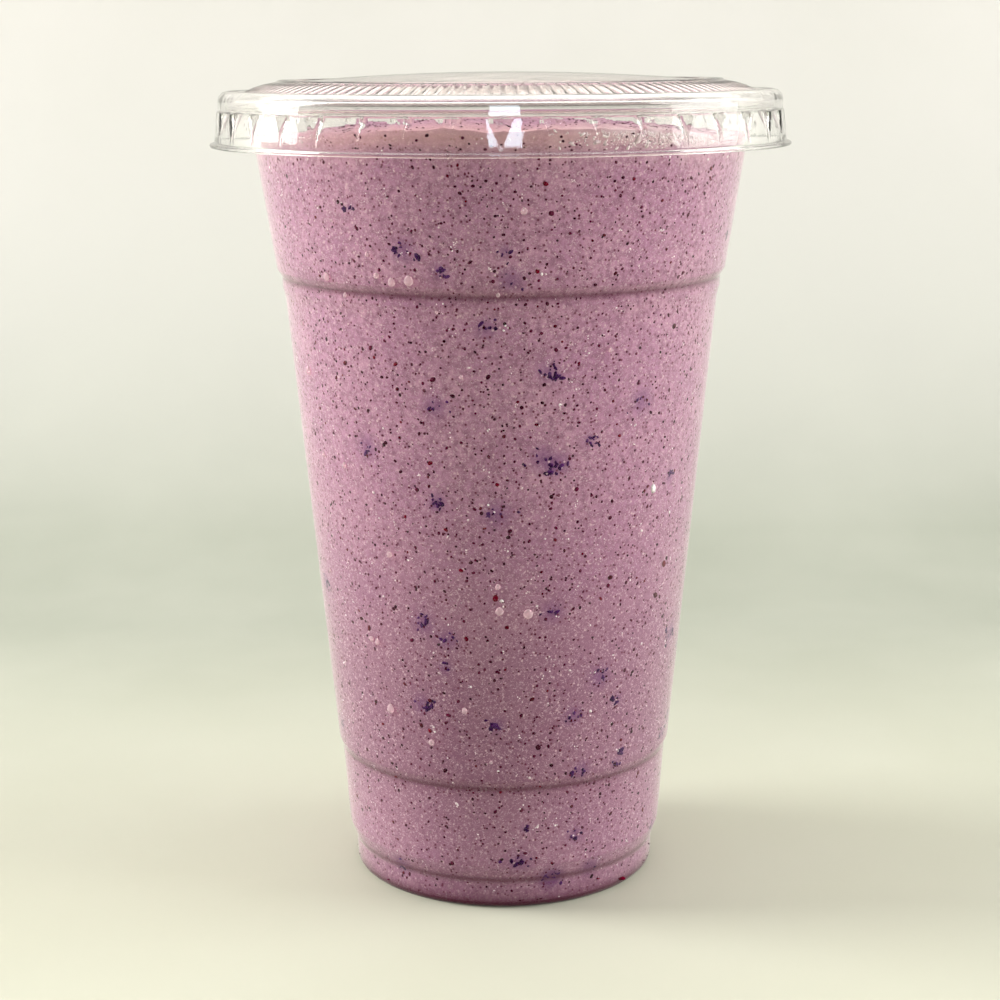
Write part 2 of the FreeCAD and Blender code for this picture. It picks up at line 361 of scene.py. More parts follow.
skin, skin_radii = lid_skin(0)
under, under_radii = lid_skin(LID_WALL)
flange = [(flange_radius, skirt_foot_z), (flange_radius, lid_foot),
          (skirt_foot - LID_WALL, lid_foot)]
lid_corners = skin + flange + under[::-1]
lid_radii = skin_radii + [0.25 * MM, 0.25 * MM, 0.1 * MM] + under_radii[::-1]
lid_outline = round_outline(lid_corners, lid_radii, 4)
lid_outline = resample(lid_outline, 2.0 * MM)
keep = np.ones(len(lid_outline), bool)
flat = np.flatnonzero(lid_outline[:, 0] < panel - 2 * MM)
keep[flat] = np.arange(len(flat)) % 3 == 0
keep[[0, -1]] = True
lid_outline = lid_outline[keep]
print("lid outline points:", len(lid_outline))

# %% [markdown]
# The outline is turned in 840 columns, six for each rib and twenty-one for
# each wedge, so both kinds of relief fall on the same columns every time.

# %% Lid relief
LID_COLUMNS = 840
RIB_SHARPNESS = 1.6
BLUSH_FADE = 3 * MM


def rib_relief(radius, height, angle):
    """Ridge height: a raised cosine of the angle to a power, faded at both ends."""
    along = np.clip((radius - cone_top) / (cone_low - cone_top), 0, 1)
    fade = np.clip(np.minimum(along, 1 - along) / 0.06, 0, 1)
    on_cone = (height > roof - 1.2 * MM) * fade
    return RIB_HEIGHT * on_cone * ((1 + np.cos(RIB_COUNT * angle)) / 2) ** RIB_SHARPNESS


def wedge_relief(radius, height, angle):
    """Depth inwards: share of height above the tip, less distance from the middle."""
    pitch = 2 * math.pi / WEDGE_COUNT
    across = np.abs((angle + pitch / 2) % pitch - pitch / 2) * radius
    rise = (height - (wedge_top_z - WEDGE_HEIGHT)) / WEDGE_HEIGHT
    on_skirt = (rise > 0) * (rise < 1.001) * (radius > side - 2 * LID_WALL)
    return WEDGE_DEPTH * on_skirt * np.clip(rise - across / WEDGE_HALF, 0, None)


angle = np.arange(LID_COLUMNS) * 2 * math.pi / LID_COLUMNS
radius, height = lid_outline[:, :1], lid_outline[:, 1:]
ribs = rib_relief(radius, height, angle)
wedges = wedge_relief(radius, height, angle)
lid_radius = radius - wedges
lid_grid = np.stack([lid_radius * np.cos(angle), lid_radius * np.sin(angle), height + ribs], -1)
lid = turned_piece("clear_lid", lid_grid)
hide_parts("lid")
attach(lid, "root")
from_axis = np.hypot(*mesh_points(lid).T[:2])
set_values(lid.data, "blush", np.clip((gutter - from_axis) / BLUSH_FADE, 0, 1))
print("deepest wedge in mm:", round(float(wedges.max()) / MM, 2))

# %% [markdown]
# ## The drink
#
# A thick shake wets the plastic, so no air shows between drink and cup. Its
# surface therefore runs a little inside the wall's material. Its top isn't
# level: it was poured and knocked about, so it stands higher at the front,
# leans to the back and carries soft lumps where froth has settled.

# %% Drink surface
BITE = 0.2 * MM
DRINK_COLUMNS = 360
CREASES = [5.7 * MM, 24.0 * MM, 113.1 * MM]
CREST_FORWARD = 20 * MM
CREST_FALL = 6.5 * MM
CREST_SINK = 0.75 * MM
MOUND_REACH, MOUND_SOFT = 16 * MM, 4 * MM
LUMP_SIZE, LUMP_HEIGHT = 17 * MM, 0.28 * MM
FROTH_SIZE, FROTH_HEIGHT = 4.5 * MM, 0.12 * MM
STRETCH_FROM = 120 * MM
WALL_FROM = 5 * MM
TOP_RINGS, TOP_START = 34, 0.985
JOIN_FROM, JOIN_SPAN, JOIN_LIFT = 0.9, 0.085, 0.1 * MM
crest = float(shake_high[2])


def fill_level(x, y):
    """Height of the drink's surface: a soft mound, sunk towards the sides.

    It is flat near its crest. Past MOUND_REACH it falls in a straight slope,
    and soft * log(1 + exp(distance / soft)) rounds the change from one to the
    other. Two sums of waves add broad lumps and fine froth.
    """
    reach = np.hypot(x, y + CREST_FORWARD)
    slope = CREST_FALL / (rim_radius + CREST_FORWARD - 14 * MM)
    beyond = MOUND_SOFT * np.logaddexp(0, (reach - MOUND_REACH) / MOUND_SOFT)
    spots = np.stack([x, y, 0 * x], -1)
    lumps = wave_noise(spots, LUMP_SIZE, 3) * LUMP_HEIGHT
    froth = wave_noise(spots, FROTH_SIZE, 4) * FROTH_HEIGHT
    return crest - CREST_SINK - slope * beyond + lumps + froth


def add_rings(outline, heights, reach, spacing):
    """Outline with closer points within reach of each of the given heights."""
    pieces = [outline[:1]]
    for start, end in zip(outline, outline[1:]):
        middle = (start[1] + end[1]) / 2
        near = any(abs(middle - height) < reach for height in heights) and start[0] > 28 * MM
        pieces.append(resample(np.array([start, end]), spacing if near else 9 * MM)[1:])
    return np.concatenate(pieces)


inset = WALL - BITE
drink_outline = round_outline(foot_corners(inset) + wall_corners(inset), FOOT_RADII + WALL_RADII)
drink_outline = resample(drink_outline, 1.1 * MM)
drink_outline = add_rings(drink_outline, CREASES, 2.4 * MM, 0.35 * MM)
wall_heights = drink_outline[:, 1].copy()
angle = np.arange(DRINK_COLUMNS) * 2 * math.pi / DRINK_COLUMNS
on_wall = wall_heights > WALL_FROM
edge_radius = np.interp(crest - 2 * MM, wall_heights[on_wall], drink_outline[on_wall, 0])
level = fill_level(edge_radius * np.cos(angle), edge_radius * np.sin(angle))
upper = (wall_heights - STRETCH_FROM) / (wall_heights[-1] - STRETCH_FROM)
upper = np.clip(upper, 0, 1)[:, None]
height = np.where(upper > 0, STRETCH_FROM + (level - STRETCH_FROM) * upper,
                  wall_heights[:, None])
radius = np.where(on_wall[:, None],
                  np.interp(height, wall_heights[on_wall], drink_outline[on_wall, 0]),
                  drink_outline[:, :1])
side_grid = np.stack([radius * np.cos(angle), radius * np.sin(angle), height], -1)

share = np.linspace(TOP_START, 0, TOP_RINGS)[:, None]
top_x, top_y = share * side_grid[-1, :, 0], share * side_grid[-1, :, 1]
top_z = fill_level(top_x, top_y)
join = np.clip((share - JOIN_FROM) / JOIN_SPAN, 0, 1)
top_z = top_z * (1 - join) + (level + JOIN_LIFT) * join
top_grid = np.stack([top_x, top_y, top_z], -1)
drink_grid = np.concatenate([side_grid, top_grid])
drink = turned_piece("shake_body", drink_grid)
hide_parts("shake")
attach(drink, "root")
print("drink's edge in mm, lowest and highest:",
      round(float(level.min()) / MM, 1), round(float(level.max()) / MM, 1))

# %% [markdown]
# ## Placing things on the wall
#
# Seeds, skins, bubbles and droplets all sit on the wall, each with its own
# small frame of directions: along the ring, up the wall and outwards. With
# those three arrows as arrays, thousands of small shapes are placed at once.

# %% Wall frame
RISE_STEP = 0.4 * MM
TOP_LIFT = 0.06 * MM
smooth_wall = round_outline(foot_corners(0) + wall_corners(0), FOOT_RADII + WALL_RADII)
smooth_wall = resample(smooth_wall, 1 * MM)
smooth_wall = smooth_wall[smooth_wall[:, 1] > 1.3 * MM]
smooth_wall = smooth_wall[np.argsort(smooth_wall[:, 1], kind="stable")]
smooth_wall = smooth_wall[np.concatenate([[True], np.diff(smooth_wall[:, 1]) > 1e-7])]


def wall_radius(height):
    """Outside radius of the wall at a height."""
    return np.interp(height, smooth_wall[:, 1], smooth_wall[:, 0])


def wall_frames(angle, height, inset):
    """Points on the wall moved in by inset, with their ring, up and out arrows.

    The wall's rise is its change of radius over a short step in height. The
    up and out arrows lean by it and are divided by their length.
    """
    radius = wall_radius(height)
    rise = (wall_radius(height + RISE_STEP) - wall_radius(height - RISE_STEP)) / (2 * RISE_STEP)
    cos, sin = np.cos(angle), np.sin(angle)
    tilt = np.sqrt(1 + rise ** 2)
    ring = np.stack([-sin, cos, 0 * cos], -1)
    up = np.stack([rise * cos, rise * sin, 1 + 0 * cos], -1) / tilt[:, None]
    out = np.stack([cos, sin, -rise], -1) / tilt[:, None]
    place = np.stack([radius * cos, radius * sin, height], -1) - out * inset
    return place, ring, up, out


def facing(degrees):
    """Angle round the axis of a spot so many degrees to the right of the front."""
    return np.radians(np.asarray(degrees, dtype=float) - 90)


def from_front(angle):
    """Degrees to the right of the front, -180 to 180, of an angle round the axis."""
    return (np.degrees(angle) + 90 + 180) % 360 - 180


# %% [markdown]
# Specks float on top of the drink as well, and show from above through the
# lid. There the frame is simpler: right, back and up, at the drink's level.

# %% Top frame
def top_frames(x, y):
    """Points on top of the drink, with their right, back and up arrows."""
    place = np.stack([x, y, fill_level(x, y) + TOP_LIFT], -1)
    return (place,) + tuple(np.ones((len(x), 1)) * np.array(arrow, dtype=float)
                            for arrow in ((1, 0, 0), (0, 1, 0), (0, 0, 1)))


def join_frames(first, second):
    """Two sets of frames, one after the other."""
    return tuple(np.concatenate(pair) for pair in zip(first, second))


def scatter_on_top(count, seed):
    """Even random spots on top: radius as the root of a random share."""
    rng = np.random.default_rng(seed)
    radius = (edge_radius - 1.5 * MM) * np.sqrt(rng.uniform(0, 1, count))
    angle = rng.uniform(0, 2 * math.pi, count)
    return radius * np.cos(angle), radius * np.sin(angle)


print("drink's level in the middle, mm:", round(float(fill_level(0.0, 0.0)) / MM, 1))

# %% [markdown]
# Specks are flat chips: a ring of points, one point in front and one behind.
# The ring's radius wobbles, so no two chips have the same outline.

# %% Chips
CHIP_SIDES = 8


def chips(name, frames, width, length, turn, bulge, wobble, seed):
    """Many flat chips, one for each frame, as one mesh with a random value for each.

    A rim point lies at (width / 2 * cos, length / 2 * sin) of its corner's
    angle, times 1 plus or minus the wobble, and is then turned in the wall.
    """
    rng = np.random.default_rng(seed)
    place, ring, up, out = frames
    count = len(place)
    corner = np.arange(CHIP_SIDES) * 2 * math.pi / CHIP_SIDES
    spread = 1 + wobble * rng.uniform(-1, 1, (count, CHIP_SIDES))
    flat_x = np.cos(corner) * spread * width[:, None] / 2
    flat_y = np.sin(corner) * spread * length[:, None] / 2
    cos, sin = np.cos(turn)[:, None], np.sin(turn)[:, None]
    along, upward = flat_x * cos - flat_y * sin, flat_x * sin + flat_y * cos
    rim = place[:, None] + along[..., None] * ring[:, None] + upward[..., None] * up[:, None]
    front = place + out * bulge
    back = place - out * bulge
    points = np.concatenate([rim, front[:, None], back[:, None]], axis=1)
    column = np.arange(CHIP_SIDES)
    after = (column + 1) % CHIP_SIDES
    fan = np.concatenate([
        np.stack([column, after, np.full(CHIP_SIDES, CHIP_SIDES)], -1),
        np.stack([after, column, np.full(CHIP_SIDES, CHIP_SIDES + 1)], -1)])
    faces = (np.arange(count)[:, None, None] * (CHIP_SIDES + 2) + fan).reshape(-1, 3)
    piece = add_mesh(name, points.reshape(-1, 3), faces)
    set_values(piece.data, "tint", np.repeat(rng.uniform(0, 1, count), CHIP_SIDES + 2))
    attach(piece, "root")
    return piece


GROOVE_HALF = 0.9 * MM


def scatter(count, seed, low=1.5 * MM, high=crest - 0.5 * MM):
    """Even random spots on the wall below the drink's edge: (angle, height).

    The sharp groove over the foot is left out, since a chip would bridge it.
    """
    rng = np.random.default_rng(seed)
    angle = rng.uniform(0, 2 * math.pi, count * 2)
    height = rng.uniform(low, high, count * 2)
    radius = wall_radius(height)
    edge = fill_level(radius * np.cos(angle), radius * np.sin(angle)) - 0.4 * MM
    clear_of_groove = np.abs(height - CREASES[0]) > GROOVE_HALF
    even = rng.uniform(0, 1, count * 2) < radius / rim_radius
    chosen = even & (height < edge) & clear_of_groove
    return angle[chosen][:count], height[chosen][:count]


# %% [markdown]
# ## Seeds
#
# Most specks are crushed berry seeds, a third to half a millimetre across
# and almost black, with fewer larger red-brown ones. Sizes follow a lognormal
# law: many small, few large, as grinding leaves them.

# %% Seed specks
SEEDS_ON_WALL, SEEDS_ON_TOP = 6800, 1500
RED_ON_WALL, RED_ON_TOP = 400, 90
SEED_WIDTH, RED_WIDTH = 0.36 * MM, 0.56 * MM


def chip_sizes(rng, count, middle, spread, longest):
    """Widths by a lognormal law, lengths up to a share longer, and turns."""
    width = middle * rng.lognormal(0, spread, count)
    length = width * rng.uniform(0.9, longest, count)
    return width, length, rng.uniform(0, math.pi, count)


rng = np.random.default_rng(11)
frames = join_frames(wall_frames(*scatter(SEEDS_ON_WALL, 12), WALL - BITE),
                     top_frames(*scatter_on_top(SEEDS_ON_TOP, 14)))
seeds = chips("seed_specks", frames, *chip_sizes(rng, len(frames[0]), SEED_WIDTH, 0.28, 1.45),
              bulge=0.07 * MM, wobble=0.12, seed=13)
frames = join_frames(wall_frames(*scatter(RED_ON_WALL, 15), WALL - BITE),
                     top_frames(*scatter_on_top(RED_ON_TOP, 17)))
red_seeds = chips("red_seeds", frames, *chip_sizes(rng, len(frames[0]), RED_WIDTH, 0.24, 1.5),
                  bulge=0.09 * MM, wobble=0.13, seed=16)

# %% [markdown]
# ## Berry skins
#
# Bits of dark skin come in loose clusters, because one berry breaks up in one
# place. They lie densest at the front, so their angles there follow a bell
# curve and their heights an even spread; the rest are thinly scattered. Each
# cluster has a size, and its bits fall round its middle by a bell curve too.

# %% Skin clusters
FRONT_CLUSTERS, HIDDEN_CLUSTERS = 38, 70
FRONT_MIDDLE, FRONT_SPREAD, FRONT_EDGE = 2, 24, 65
SKIN_WIDTH = 0.48 * MM
rng = np.random.default_rng(21)
front_angle = facing(rng.normal(FRONT_MIDDLE, FRONT_SPREAD, FRONT_CLUSTERS))
front_height = rng.uniform(4 * MM, 131 * MM, FRONT_CLUSTERS)
hidden_angle, hidden_height = scatter(HIDDEN_CLUSTERS, 22)
at_back = np.abs(from_front(hidden_angle)) > FRONT_EDGE
cluster_angle = np.concatenate([front_angle, hidden_angle[at_back]])
cluster_height = np.concatenate([front_height, hidden_height[at_back]])
cluster_size = rng.uniform(0.9, 2.6, len(cluster_angle)) * MM
bits = rng.integers(4, 12, len(cluster_angle))
owner = np.repeat(np.arange(len(bits)), bits)
count = len(owner)
size = cluster_size[owner]
angle = cluster_angle[owner] + rng.normal(0, 0.62, count) * size / wall_radius(cluster_height[owner])
height = cluster_height[owner] + rng.normal(0, 0.36, count) * size
height = np.clip(height, 1.6 * MM, crest - 2 * MM)
skins = chips("berry_skins", wall_frames(angle, height, WALL - BITE),
              *chip_sizes(rng, count, SKIN_WIDTH, 0.34, 2.0),
              bulge=0.08 * MM, wobble=0.4, seed=23)

# %% [markdown]
# ## Stain and a darker low band
#
# Dark skin colours the drink close to it. A texture couldn't know where the skins lie, so each point
# of the drink remembers how near it is to them. The points also remember a broad band below the
# middle, where the drink is painted a little darker. Both values are made from bell curves.

# %% Stain round the skins
STAIN_STRENGTH, STAIN_REACH = 0.8, 0.62
LOW_BAND_HEIGHT, LOW_BAND_WIDTH = 36 * MM, 30 * MM


def bell(distance, width):
    """1 at no distance, falling as exp(-(distance / width) squared)."""
    return np.exp(-(distance / width) ** 2)


def near_clusters(points, spread):
    """How close each point is to the clusters: a sum of soft bells, at most 1."""
    centres = wall_frames(cluster_angle, cluster_height, WALL)[0]
    value = np.zeros(len(points))
    for centre, size in zip(centres, cluster_size):
        distance = ((points - centre) ** 2).sum(axis=1)
        value += STAIN_STRENGTH * np.exp(-distance / (2 * (spread * size) ** 2))
    return np.clip(value, 0, 1)


drink_points = mesh_points(drink)
height = drink_points[:, 2]
stain = near_clusters(drink_points, STAIN_REACH)
set_values(drink.data, "stain", stain)
# This stored value marks a broad band below the middle that is painted a little darker.
set_values(drink.data, "low_band", bell(height - LOW_BAND_HEIGHT, LOW_BAND_WIDTH))
print("share of the drink that is stained:", round(float((stain > 0.2).mean()), 3))

# %% [markdown]
# ## Shade in the creases
#
# Each step of the wall overhangs a little groove. Hardly any light gets into it, so a thin dark line
# runs round the drink under every step. The groove is narrower than the drink's own faces, so this
# shade is painted into the drink's colour from a value stored on the points: a narrow bell in height
# for the line, and a wider one for the soft shade round it. Two more bells paint shade on the foot,
# where it meets the floor.

# %% Crease shade
LINE_SHADE, LINE_WIDTH = 0.52, 0.6 * MM
SOFT_SHADE, SOFT_WIDTH, SOFT_ABOVE = 0.22, 2.0 * MM, 0.5 * MM
FOOT_SHADE, FOOT_WIDTH = 0.62, 3.6 * MM
REST_SHADE, REST_WIDTH = 0.9, 1.2 * MM
SIDE_FROM = 27 * MM
from_middle = np.hypot(drink_points[:, 0], drink_points[:, 1])
on_side = from_middle > SIDE_FROM
crease = np.zeros(len(height))
for line in CREASES:
    crease += LINE_SHADE * bell(height - line, LINE_WIDTH)
    crease += SOFT_SHADE * bell(height - line - SOFT_ABOVE, SOFT_WIDTH)
crease += FOOT_SHADE * bell(height, FOOT_WIDTH) + REST_SHADE * bell(height, REST_WIDTH)
# The stored value "crease" is painted shade: dark lines under the steps and shade at the foot.
set_values(drink.data, "crease", np.clip(crease, 0, 1) * on_side)
print("points in a crease:", int((crease > 0.5).sum()))

# %% [markdown]
# ## The painted glow at the edge
#
# Where the drink meets the air, light through its thin edge would glow a warm salmon; that glow is
# painted into the drink's colour. The painted light is strongest at the front left, and it fades
# unevenly over the first few millimetres below the edge. At the front right the whipped froth lies
# against the wall in pale patches, stored as one more value.

# %% Edge glow
GLOW, GLOW_DEPTH, GLOW_REACH = 0.6, 3.2 * MM, 7 * MM
GLOW_AT, GLOW_SPREAD, GLOW_LEAST = -5, 45, 0.25
PATCH_SIZE, PATCH_DEPTH, MOST_FROTH = 3.5 * MM, 3.4 * MM, 0.85
column_angle = np.arctan2(drink_points[:, 1], drink_points[:, 0])
local_edge = fill_level(edge_radius * np.cos(column_angle), edge_radius * np.sin(column_angle))
uneven = wave_noise(drink_points, 5 * MM, 5) * 0.5 * MM
depth = np.clip(local_edge - height + uneven, 0, None)
turned = from_front(column_angle)
toward_front = GLOW_LEAST + (1 - GLOW_LEAST) * bell(turned - GLOW_AT, GLOW_SPREAD)
from_wall = np.clip(edge_radius - from_middle, 0, None)
on_top = height > local_edge - 0.3 * MM
outer = np.where(on_top, bell(from_wall, GLOW_REACH), 1.0)
glow = GLOW * bell(depth, GLOW_DEPTH) * outer
# The stored value "edge" is painted light: the salmon glow below the drink's edge and on its top near
# the wall.
set_values(drink.data, "edge", glow * toward_front * on_side)

froth_patch = bell(turned - 44, 24) + 0.5 * bell(turned + 60, 14)
patchy = np.clip(0.62 + 0.5 * wave_noise(drink_points, PATCH_SIZE, 6), 0, 1)
froth_value = froth_patch * patchy * bell(depth, PATCH_DEPTH) * outer * on_side
set_values(drink.data, "froth", np.clip(froth_value, 0, MOST_FROTH))
print("points with froth:", int((froth_value > 0.3).sum()))

# %% [markdown]
# ## Tiny bubbles
#
# Whipping leaves air in the drink. Against the plastic it shows as pale pin pricks, often a few
# together, and as denser froth at the edge under the lid. The pricks' near-white colour is partly the
# air's own and partly painted sparkle.

# %% Bubbles
BUBBLE_SPOTS = 900
BUBBLE_WIDTH = 0.20 * MM
rng = np.random.default_rng(31)
angle, height = scatter(BUBBLE_SPOTS, 32)
together = rng.integers(1, 5, len(angle))
angle, height = np.repeat(angle, together), np.repeat(height, together)
count = len(angle)
angle = angle + rng.normal(0, 0.45 * MM, count) / rim_radius
height = np.clip(height + rng.normal(0, 0.4 * MM, count), 1.6 * MM, crest - 2 * MM)
bubbles = chips("bubbles_and_painted_sparkle", wall_frames(angle, height, WALL - BITE),
                *chip_sizes(rng, count, BUBBLE_WIDTH, 0.38, 1.4),
                bulge=0.06 * MM, wobble=0.08, seed=33)

# %% [markdown]
# ## Froth under the lid
#
# The top of the drink is whipped. Right of the front, and a little at the far
# left, its froth has smeared up the wall as pale, uneven flakes.

# %% Froth
FLAKES_RIGHT, FLAKES_LEFT = 1000, 200
FLAKE_WIDTH, FLAKE_BELOW = 0.24 * MM, 1.6 * MM
rng = np.random.default_rng(36)
froth_turned = np.concatenate([rng.normal(44, 14, FLAKES_RIGHT), rng.normal(-62, 8, FLAKES_LEFT)])
froth_below = np.abs(rng.normal(0, FLAKE_BELOW, len(froth_turned)))
angle = facing(froth_turned)
edge = fill_level(edge_radius * np.cos(angle), edge_radius * np.sin(angle))
height = edge - froth_below - 0.3 * MM
under_lid = height > lid_foot
angle, height = angle[under_lid], height[under_lid]
froth_flakes = chips("froth_flakes", wall_frames(angle, height, WALL - BITE),
                     *chip_sizes(rng, len(angle), FLAKE_WIDTH, 0.5, 2.4),
                     bulge=0.07 * MM, wobble=0.3, seed=37)

# %% [markdown]
# ## Droplets on the outside
#
# A cold cup gathers water, here mostly on the left of the front, by a bell
# curve of angles. Small drops stay round; larger ones sag, so they are narrow
# at the top and full at the bottom. A drop is a grid in polar
# form: its outline is a circle pulled into an egg, and its height over the
# wall falls from the middle to the edge as the root of one minus the square
# of the distance.

# %% Droplets
EGG_NARROWING, EGG_STRETCH = 0.38, 0.45
DROP_FULLNESS, DROP_SAG = 0.78, 0.20


def droplets(name, angle, height, width, sag, around, rings):
    """Domes of water on the wall, as one mesh, closed by a flat back.

    A point lies at a share of the egg's outline, and it stands out by half the
    width times the fullness times the root of 1 - share squared. The sag takes
    width off the egg's upper half, lengthens it and makes the lower half full.
    """
    count = len(angle)
    place, ring, up, out = wall_frames(angle, height, 0.03 * MM)
    corner = np.arange(around) * 2 * math.pi / around
    reach = np.sin(np.linspace(0, 1, rings + 1)[1:] * math.pi / 2)
    egg = 1 - EGG_NARROWING * sag[:, None] * np.clip(np.sin(corner), 0, None) ** 1.5
    flat_x = width[:, None] / 2 * np.cos(corner) * egg
    stretch = 1 + EGG_STRETCH * sag[:, None] * (np.sin(corner) > 0)
    flat_y = width[:, None] / 2 * np.sin(corner) * stretch
    dome = np.sqrt(1 - np.clip(reach, 0, 1) ** 2)
    full = DROP_FULLNESS - DROP_SAG * np.sin(corner)[None, :, None] * sag[:, None, None]
    lift = width[:, None, None] / 2 * full * dome[None, None, :]
    grid = (place[:, None, None] + ring[:, None, None] * (flat_x[:, :, None] * reach)[..., None]
            + up[:, None, None] * (flat_y[:, :, None] * reach)[..., None]
            + out[:, None, None] * lift[..., None])
    peak = place + out * (width * DROP_FULLNESS / 2)[:, None]
    points = np.concatenate([grid.reshape(count, -1, 3), peak[:, None], place[:, None]], axis=1)
    column, step = np.meshgrid(np.arange(around), np.arange(rings - 1), indexing="ij")
    after = (column + 1) % around
    quads = np.stack([column * rings + step, column * rings + step + 1,
                      after * rings + step + 1, after * rings + step], -1).reshape(-1, 4)
    column = np.arange(around)
    after = (column + 1) % around
    peak_index, back_index = around * rings, around * rings + 1
    fans = np.concatenate([
        np.stack([np.full(around, peak_index), column * rings, after * rings], -1),
        np.stack([np.full(around, back_index), (after + 1) * rings - 1,
                  (column + 1) * rings - 1], -1)])
    offset = (np.arange(count) * (around * rings + 2))[:, None, None]
    return add_mesh(name, points.reshape(-1, 3), (offset + fans).reshape(-1, 3),
                    (offset + quads).reshape(-1, 4))


BIG_DROPS, FINE_SPOTS = 28, 260
BIG_WIDTH, FINE_WIDTH = 1.0 * MM, 0.26 * MM
rng = np.random.default_rng(41)
big_angle = facing(rng.normal(-26, 28, BIG_DROPS))
big_height = rng.uniform(24 * MM, 128 * MM, BIG_DROPS)
big_width = np.clip(BIG_WIDTH * rng.lognormal(0, 0.4, BIG_DROPS), 0.5 * MM, 2.1 * MM)
big_sag = rng.uniform(0.1, 0.9, BIG_DROPS)
angle, height = scatter(FINE_SPOTS, 42, low=6 * MM, high=136 * MM)
toward_left = 0.25 + 0.75 * bell(from_front(angle) + 30, 45)
kept = rng.uniform(0, 1, len(angle)) < toward_left
angle, height = angle[kept], height[kept]
small = FINE_WIDTH * rng.lognormal(0, 0.42, len(angle))
drops = droplets("droplets", big_angle, big_height, big_width, big_sag, around=20, rings=7)
fine_drops = droplets("fine_droplets", angle, height, small, rng.uniform(0, 0.4, len(small)),
                      around=8, rings=2)
for piece in (drops, fine_drops):
    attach(piece, "root")

# %% [markdown]
# ## Materials: helpers
#
# Every material is built from nodes. A few small helpers keep the cells
# readable: they start a material and hand back its shader, add a node with
# its settings, read a value stored on the points, mix two colours, stretch a
# value to the range from 0 to 1, and put the material on its piece.

# %% Node helpers
COLOUR_A, COLOUR_B, COLOUR_OUT = 6, 7, 2


def new_material(name):
    """Node material with its Principled shader: (material, nodes, link, shader)."""
    material = bpy.data.materials.new(name)
    material.use_nodes = True
    tree = material.node_tree
    return material, tree.nodes, tree.links.new, tree.nodes["Principled BSDF"]


def add_node(nodes, kind, inputs=None, **settings):
    """Node of a kind, with its settings and its input values."""
    node = nodes.new(kind)
    for name, value in settings.items():
        setattr(node, name, value)
    for name, value in (inputs or {}).items():
        node.inputs[name].default_value = value
    return node


def stored_value(nodes, name):
    """Output with the number that each point stores under a name."""
    return add_node(nodes, "ShaderNodeAttribute", attribute_name=name).outputs["Fac"]


def mix_colour(nodes, link, factor, first, second):
    """Mix two colours, each a value or an output, by a factor output."""
    node = add_node(nodes, "ShaderNodeMix", data_type="RGBA")
    link(factor, node.inputs["Factor"])
    for socket, colour in ((COLOUR_A, first), (COLOUR_B, second)):
        if isinstance(colour, tuple):
            node.inputs[socket].default_value = colour
        else:
            link(colour, node.inputs[socket])
    return node.outputs[COLOUR_OUT]


def ramp(nodes, link, source, low, high):
    """Straight ramp of a value from 0 at low to 1 at high."""
    node = add_node(nodes, "ShaderNodeMapRange", {"From Min": low, "From Max": high})
    link(source, node.inputs["Value"])
    return node.outputs["Result"]


def wear(piece, material):
    """Give a piece its material."""
    piece.data.materials.clear()
    piece.data.materials.append(material)


# %% [markdown]
# ## A group for faint unevenness
#
# Formed plastic, water and drink all have a surface that isn't quite even.
# One node group serves them: it takes a scale and a strength, and puts out a
# normal and a soft value, both from noise in the object's own coordinates.

# %% Unevenness group
unevenness = bpy.data.node_groups.new("Unevenness", "ShaderNodeTree")
for name, way, kind in (("Scale", "INPUT", "Float"), ("Strength", "INPUT", "Float"),
                        ("Depth", "INPUT", "Float"), ("Value", "OUTPUT", "Float"),
                        ("Normal", "OUTPUT", "Vector")):
    unevenness.interface.new_socket(name=name, in_out=way, socket_type="NodeSocket" + kind)
taken = add_node(unevenness.nodes, "NodeGroupInput")
given = add_node(unevenness.nodes, "NodeGroupOutput")
place = add_node(unevenness.nodes, "ShaderNodeTexCoord")
noise = add_node(unevenness.nodes, "ShaderNodeTexNoise", {"Detail": 3.0, "Roughness": 0.55})
bump = add_node(unevenness.nodes, "ShaderNodeBump")
unevenness.links.new(place.outputs["Object"], noise.inputs["Vector"])
unevenness.links.new(taken.outputs["Scale"], noise.inputs["Scale"])
unevenness.links.new(taken.outputs["Strength"], bump.inputs["Strength"])
unevenness.links.new(taken.outputs["Depth"], bump.inputs["Distance"])
unevenness.links.new(noise.outputs["Fac"], bump.inputs["Height"])
unevenness.links.new(noise.outputs["Fac"], given.inputs["Value"])
unevenness.links.new(bump.outputs["Normal"], given.inputs["Normal"])


def add_unevenness(nodes, scale, strength, depth):
    """The group placed in a material with its own values."""
    node = add_node(nodes, "ShaderNodeGroup", node_tree=unevenness)
    for name, value in (("Scale", scale), ("Strength", strength), ("Depth", depth)):
        node.inputs[name].default_value = value
    return node


# %% [markdown]
# ## Clear plastic and water
#
# Light reaches the drink only through the wall. A ray tracer finds that path
# hard to hit, so these materials let shadow rays and diffuse rays straight
# through with a faint tint, and keep real refraction for what the eye sees.
# The cup's index is set below that of plastic: its wall touches the drink, and
# a weaker mirror image of the pale floor leaves the dark specks dark.

# %% Clear materials
PLASTIC = (0.985, 0.985, 0.98)
BLUSH = (1.0, 0.88, 0.88, 1)
PASSED = 0.97


